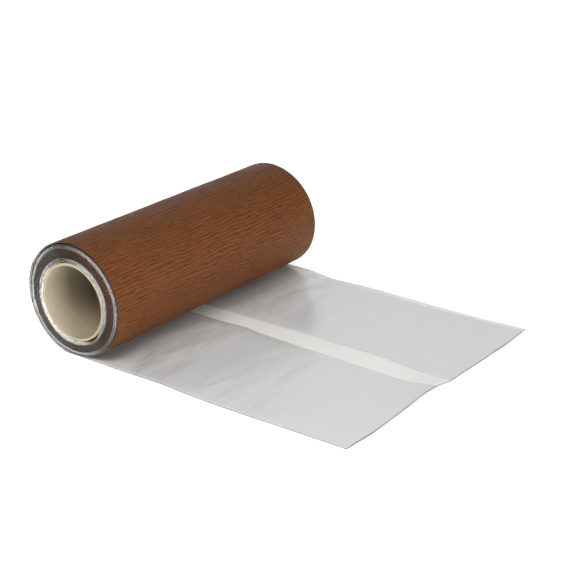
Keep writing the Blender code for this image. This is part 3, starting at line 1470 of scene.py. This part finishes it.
@dataclass(frozen=True)
class WindingEnds:
    """How the turns sit at the roll's ends: some stand proud, and the innermost ones are crumpled.

    Attributes:
        path: Where the tape runs.
        reach: How far in from an end a turn's shift fades out.
        foil_proud: How far the foil's edge stands proud, over the turns outside it.
        film_proud: The same for the film.
        adhesive_proud: The same for the adhesive.
        top_slack: How far the outer turn stands off over the top.
        front_slack: How far the outer turns stand off at the front.
        fold_room: How far the turn under the folds keeps clear of them.
        buckle: How far the turns at the core buckle out at the low front.
        round_play: Uneven play between the turns.
        crumple: Crumpling of the turns at the core.
    """

    path: TapePath
    reach: float = 9 * MM
    foil_proud: WavyLine = WavyLine(
        (0.0, 1.3, 2.2, 4.4, 5.2, 11.2, 12.2, 16.0),
        (0.15, 0.10, -0.55, -0.45, 0.85, 0.75, -0.8, -1.2),
    )
    film_proud: WavyLine = WavyLine(
        (0.0, 1.3, 2.2, 4.4, 5.2, 11.2, 12.2, 16.0),
        (-0.3, -0.3, 0.95, 0.75, -0.6, -0.55, 1.3, 1.7),
    )
    adhesive_proud: WavyLine = WavyLine(
        (0.0, 1.3, 4.4, 5.2, 11.2, 12.4, 16.0), (0.6, 0.3, 0.3, 1.65, 1.55, -3.0, -4.0)
    )
    top_slack: float = 0.6 * MM
    front_slack: float = 2.1 * MM
    fold_room: float = 0.5 * MM
    buckle: float = 1.7 * MM
    round_play: float = 0.16 * MM
    crumple: float = 0.34 * MM

    def turns(self, s: Array) -> Array:
        """How many turns lie outside a station."""
        return self.path.turns(self.path.angle_at(s))

    def stand_off(self, s: Array, y: Array) -> Array:
        """Looseness of the winding: a slack front, and more play towards the core and the ends.

        Args:
            s: Distance along the tape.
            y: Distance across it.

        Returns:
            How far each point stands off its place, outwards.
        """
        angle = self.path.angle_at(s)
        heading = angle % math.tau
        turns = self.turns(s)
        joined = self.path.folds * self.path.side_angle
        top = hump(angle, (joined, joined + 0.9), (math.radians(300), math.tau))
        front = self._sector(heading, 190, 275, 285, 352)
        slack = self.top_slack * top + self.front_slack * front * (1 - ease(turns, 1.0, 6.0))
        under_folds = hump(turns, (0.93, 1.02), (1.5, 6.0))
        under_folds = under_folds * (1 - ease((angle + 0.3) % math.tau, joined + 0.35, joined + 0.9))
        slack = slack - self.fold_room * under_folds
        low_front = self._sector(heading, 296, 318, 330, 352)
        slack = slack + self.buckle * low_front * ease(turns, 12.0, 14.2)
        inner = ease(turns, 11.0, 14.5)
        at_end = 0.25 + 0.75 * ease(np.abs(y), 110 * MM, 148 * MM)
        round_it = smooth_noise(np.cos(angle) * 3.1 + 7, np.sin(angle) * 3.1 + turns * 0.25, 31)
        crumple = smooth_noise(angle * 5.5, y / (8 * MM), 33)
        shared = self.round_play * round_it * ease(turns, 0.9, 3.0)
        return slack + shared * at_end + self.crumple * crumple * inner * at_end

    @staticmethod
    def _sector(heading: Array, *degrees: float) -> Array:
        """A hump over a sector of the roll, given by the four angles of its rise and fall."""
        rise_start, rise_end, fall_start, fall_end = map(math.radians, degrees)
        return hump(heading, (rise_start, rise_end), (fall_start, fall_end))

    def telescope(self, piece: bpy.types.Object, layer: Layer) -> None:
        """Shifts a layer's edges in or out along the roll's axis, turn by turn.

        Args:
            piece: The layer's wound stretch.
            layer: The layer.
        """
        mesh = piece.data
        uv = np.empty(len(mesh.loops) * 2, np.float32)
        mesh.uv_layers[TAPE_UV].data.foreach_get("uv", uv)
        s = np.empty(len(mesh.vertices))
        s[corner_points(mesh)] = uv.reshape(-1, 2)[:, 0]
        points = points_of(mesh)
        turns, angle = self.turns(s), self.path.angle_at(s)
        if layer.is_foil:
            line = self.foil_proud
        else:
            line = self.film_proud if layer.is_liner else self.adhesive_proud
        ragged = smooth_noise(angle * 17, turns * 1.7, 41) * 0.34 * MM
        wander = smooth_noise(angle * 1.6, turns * 1.3, 43) * 0.45 * MM * ease(turns, 0.8, 2.5)
        crumple = smooth_noise(angle * 7, turns * 3.3, 45) * 0.9 * MM * ease(turns, 11.5, 13.5)
        shift = line.over(turns) + ragged + wander + crumple * float(layer.is_liner)
        y = points[:, 1]
        past_edge = np.where(y < 0, -y - abs(layer.near), y - layer.far)
        is_outer_edge = np.where(y < 0, layer.near < -0.1, layer.far > 0.1)
        fade = ease(past_edge, -self.reach, 0.0) * is_outer_edge
        points[:, 1] = y + np.sign(y) * shift * fade
        move_points(mesh, points)


# ---------------------------------------------------------------- the core


@dataclass(frozen=True)
class CorePly:
    """One paper tube of the core.

    Attributes:
        node: The frame's node.
        paper: Its paper.
        slot: The record's material slot.
        edge_round: Radius of its cut edges.
        steps: Facets round it.
        cuts: Rings of points along it.
        saw_marks: Height of the raggedness of its cut ends.
    """

    node: str
    paper: Paper
    slot: str
    edge_round: float = 0.12 * MM
    steps: int = 144
    cuts: int = 24
    saw_marks: float = 0.10 * MM

    def build(self) -> bpy.types.Object:
        """Turns the tube about the roll's axis, with worn edges, and dresses it.

        Returns:
            The finished piece, riding on the roll.
        """
        low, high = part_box(self.node)
        axis = (low + high) / 2
        outer = (high.x - low.x) / 2
        wall = self._wall(axis)
        inner = outer - wall
        half = (high.y - low.y) / 2
        bm = bmesh.new()
        corners = [(outer, -half), (outer, half), (inner, half), (inner, -half)]
        loop = [bm.verts.new((radius, y, 0)) for radius, y in corners]
        edges = [bm.edges.new((loop[n], loop[(n + 1) % 4])) for n in range(4)]
        for edge in (edges[0], edges[2]):
            bmesh.ops.subdivide_edges(bm, edges=[edge], cuts=self.cuts)
        bmesh.ops.spin(
            bm,
            geom=[*bm.verts, *bm.edges],
            axis=(0, 1, 0),
            cent=(0, 0, 0),
            angle=math.tau,
            steps=self.steps,
            use_merge=True,
            use_duplicate=False,
        )
        bmesh.ops.remove_doubles(bm, verts=bm.verts, dist=1e-6)
        bmesh.ops.recalc_face_normals(bm, faces=bm.faces)
        rims = [
            edge
            for edge in bm.edges
            if len(edge.link_faces) == 2 and edge.calc_face_angle() > math.radians(60)
        ]
        bmesh.ops.bevel(
            bm, geom=rims, offset=self.edge_round, affect="EDGES", segments=2, profile=0.5, material=-1
        )
        bmesh.ops.translate(bm, verts=bm.verts, vec=axis)
        mesh = bpy.data.meshes.new(f"{self.node}_wound")
        bm.to_mesh(mesh)
        bm.free()
        self._saw_ends(mesh, axis, inner)
        mesh.shade_smooth()
        mesh.set_sharp_from_angle(angle=math.radians(35))
        piece = add_object(f"{self.node}_wound", mesh)
        mesh.materials.append(PaperFinish(self.paper, axis).make())
        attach(piece, "roll")
        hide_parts(self.node)
        self.slot
        LOG.info("%s: ply of %.2f mm", piece.name, wall / MM)
        return piece

    def _wall(self, axis: Vector) -> float:
        """Measures the ply in the frame.

        Args:
            axis: The tube's middle.

        Returns:
            Its thickness.
        """
        vertices = bpy.data.objects[self.node].data.vertices
        reach = [math.hypot(v.co.x - axis.x, v.co.z - axis.z) for v in vertices]
        return max(reach) - min(reach)

    def _saw_ends(self, mesh: bpy.types.Mesh, axis: Vector, inner: float) -> None:
        """Gives the cut ends the slight raggedness of sawn paper board.

        Args:
            mesh: The tube's mesh.
            axis: Its middle.
            inner: Its inner radius, which picks its saw marks.
        """
        points = points_of(mesh)
        angle = np.arctan2(points[:, 0] - axis.x, points[:, 2] - axis.z)
        y = points[:, 1]
        at_end = ease(np.abs(y), 149.0 * MM, 149.9 * MM)
        saw = smooth_noise(angle * 24, y * 0 + inner * 900, 51) * self.saw_marks
        points[:, 1] = y + np.sign(y) * saw * at_end
        move_points(mesh, points)


CORE_PLIES = (
    CorePly("core_inner_ply", Paper.INNER, "core_ply"),
    CorePly("core_board", Paper.BOARD, "core_board"),
    CorePly("core_outer_ply", Paper.OUTER, "core_ply"),
)


# ---------------------------------------------------------------- studio


@dataclass(frozen=True)
class Softbox:
    """A large soft light aimed at the object.

    Attributes:
        name: Its name.
        place: Where it hangs.
        size: Length of its side.
        power: Its power in watts.
    """

    name: str
    place: tuple[float, float, float]
    size: float
    power: float


@dataclass(frozen=True)
class Studio:
    """Pale floor, soft light from above and a long lens from the front right.

    Attributes:
        aim: What the camera looks at.
        azimuth: Direction that the camera looks in, in degrees from +Y towards -X.
        elevation: How far it looks down, in degrees.
        distance: From the camera to the aim.
        lens: Focal length in millimetres.
        sensor: Width of the sensor in millimetres.
        view_end: How far the camera sees.
        floor_size: Length of the floor's side.
        floor_drop: How far the floor lies under the object.
        floor_colour: Grey of the floor.
        floor_glow: Glow of the floor under the object. It rises to 1 further out.
        sky: Strength of the sky as a light. The camera sees it white.
        lights: The softboxes.
    """

    aim: tuple[float, float, float] = (-0.0366, 0.0512, 0.030)
    azimuth: float = 36.99
    elevation: float = 21.86
    distance: float = 1.5100
    lens: float = 97.49
    sensor: float = 36.0
    view_end: float = 50.0
    floor_size: float = 60.0
    floor_drop: float = 0.1 * MM
    floor_colour: float = 0.72
    floor_glow: float = 0.72
    sky: float = 0.20
    lights: tuple[Softbox, ...] = (
        Softbox("top_box", (0.0, -1.18, 1.50), 1.0, 17.5),
        Softbox("key_box", (0.85, -1.00, 1.45), 0.9, 10.5),
        Softbox("low_box", (1.50, -0.50, 0.14), 0.8, 28.0),
        Softbox("back_panel", (-1.60, 2.10, 0.95), 2.4, 17.0),
    )

    def build(self) -> None:
        """Builds the floor, the lights, the sky and the camera."""
        self._floor()
        for light in self.lights:
            self._light(light)
        world = bpy.data.worlds.new("studio")
        bpy.context.scene.world = world
        world.use_nodes = True
        nodes, links = world.node_tree.nodes, world.node_tree.links
        nodes["Background"].inputs["Color"].default_value = (1, 1, 1, 1)
        ray = nodes.new("ShaderNodeLightPath")
        strength = nodes.new("ShaderNodeMapRange")
        strength.inputs["To Min"].default_value = self.sky
        links.new(ray.outputs["Is Camera Ray"], strength.inputs["Value"])
        links.new(strength.outputs["Result"], nodes["Background"].inputs["Strength"])
        bpy.context.scene.view_settings.view_transform = "Standard"
        self._camera()

    def _floor(self) -> None:
        """A pale floor sheet, which isn't part of the object."""
        bm = bmesh.new()
        bmesh.ops.create_grid(bm, x_segments=1, y_segments=1, size=self.floor_size / 2)
        bmesh.ops.translate(bm, verts=bm.verts, vec=(0, 0, -self.floor_drop))
        mesh = bpy.data.meshes.new("floor")
        bm.to_mesh(mesh)
        bm.free()
        floor = add_object("floor", mesh)
        board = NodeBoard("pale_floor")
        place = board.add("ShaderNodeTexCoord", output="Object")
        away = board.add("ShaderNodeVectorMath", {0: place}, "Value", operation="LENGTH")
        glow = board.mix((self.floor_glow,) * 3, (1.0, 1.0, 1.0), (away * 0.5 - 0.3).clamped())
        colour = (self.floor_colour,) * 3
        mesh.materials.append(
            board.finish(Base_Color=colour, Roughness=0.9, Emission_Color=glow, Emission_Strength=1.0)
        )

    def _light(self, box: Softbox) -> None:
        """Hangs one softbox and turns it to the object.

        Args:
            box: The softbox.
        """
        data = bpy.data.lights.new(box.name, "AREA")
        data.shape = "SQUARE"
        data.size = box.size
        data.energy = box.power
        lamp = add_object(box.name, data)
        lamp.location = box.place
        lamp.rotation_euler = (Vector(self.aim) - lamp.location).to_track_quat("-Z", "Y").to_euler()

    def _camera(self) -> None:
        """Sets up the camera."""
        data = bpy.data.cameras.new("camera")
        data.lens = self.lens
        data.sensor_width = self.sensor
        data.clip_end = self.view_end
        camera = add_object("camera", data)
        turn, tilt = math.radians(self.azimuth), math.radians(self.elevation)
        level = math.cos(tilt)
        look = Vector((-math.sin(turn) * level, math.cos(turn) * level, -math.sin(tilt)))
        camera.location = Vector(self.aim) - look * self.distance
        camera.rotation_euler = look.to_track_quat("-Z", "Y").to_euler()
        bpy.context.scene.camera = camera


# ---------------------------------------------------------------- assembly


TIGHT_GAP = 0.08 * MM
CORE_GAP = 0.15 * MM


def circle_centre(a: Vector, b: Vector, c: Vector) -> tuple[float, float]:
    """The centre of the circle through three points of the XZ plane.

    Args:
        a: The first point.
        b: The second point.
        c: The third point.

    Returns:
        The centre's x and z.
    """
    rows = np.array([[2 * (b.x - a.x), 2 * (b.z - a.z)], [2 * (c.x - a.x), 2 * (c.z - a.z)]])
    right = [b.x**2 + b.z**2 - a.x**2 - a.z**2, c.x**2 + c.z**2 - a.x**2 - a.z**2]
    x, z = np.linalg.solve(rows, right)
    return float(x), float(z)


def read_path(frame: dict) -> tuple[TapePath, float, float]:
    """Works out the tape's path from the frame's joints and boxes.

    Args:
        frame: What the frame loader returned.

    Returns:
        The path, the liner flaps' fold line along the tape, and the winding's last angle.
    """
    joints = {joint["name"]: joint for joint in frame["joints"]}
    folds = [name for name in joints if name.startswith("fold_")]
    corners = [Vector(joints[f"fold_{n}"]["pos_m"]) for n in (1, (len(folds) + 1) // 2, len(folds))]
    axis_x, axis_z = circle_centre(*corners)
    side_angle = math.radians(joints["fold_1"]["range_deg"][1])
    hinges = tuple(
        (joints[f"fold_{n}"]["pos_m"][0], joints[f"fold_{n}"]["pos_m"][2])
        for n in range(1, len(folds) + 1)
    )
    radius = axis_z - TapePath.clearance
    core_low, core_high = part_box("core_outer_ply")
    core_radius = (core_high.x - core_low.x) / 2
    core_drop = axis_z - (core_low.z + core_high.z) / 2
    tape_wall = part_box("tail_near_liner")[1].z
    reach = radius - (core_radius + tape_wall + CORE_GAP)
    pitch = (tape_wall + TIGHT_GAP) / (1 - core_drop / reach)
    path = TapePath(
        axis_x=axis_x,
        axis_z=axis_z,
        side=math.dist(hinges[0], hinges[1]),
        side_angle=side_angle,
        hinges=hinges,
        pitch=pitch,
        turn_drop=core_drop * pitch / reach,
        free_length=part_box("tail_foil")[1].x - axis_x,
    )
    flap_fold = joints["near_liner_peel"]["pos_m"][0] - axis_x
    last_angle = reach / pitch * math.tau - side_angle / 2
    LOG.info("radius %.2f mm, pitch %.3f mm, %.1f turns", radius / MM, pitch / MM, reach / pitch)
    return path, flap_fold, last_angle


def main() -> None:
    """Builds the whole object around its frame; the winding's sizes are logged on the way."""
    logging.basicConfig(level=logging.INFO, format="%(name)s: %(message)s")
    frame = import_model()
    Studio().build()
    path, flap_fold, last_angle = read_path(frame)
    tape = Tape(
        path=path,
        finishes=Finishes().make(),
        layers=[Layer.read(name) for name in LAYER_NAMES],
        flap_fold=flap_fold,
        last_angle=last_angle,
    )
    tape.build_laid_end()
    tape.build_flaps()
    tape.build_folds()
    tape.build_outer_turn()
    tape.build_wound_turns()
    for ply in CORE_PLIES:
        ply.build()


if __name__ == "__main__":
    main()
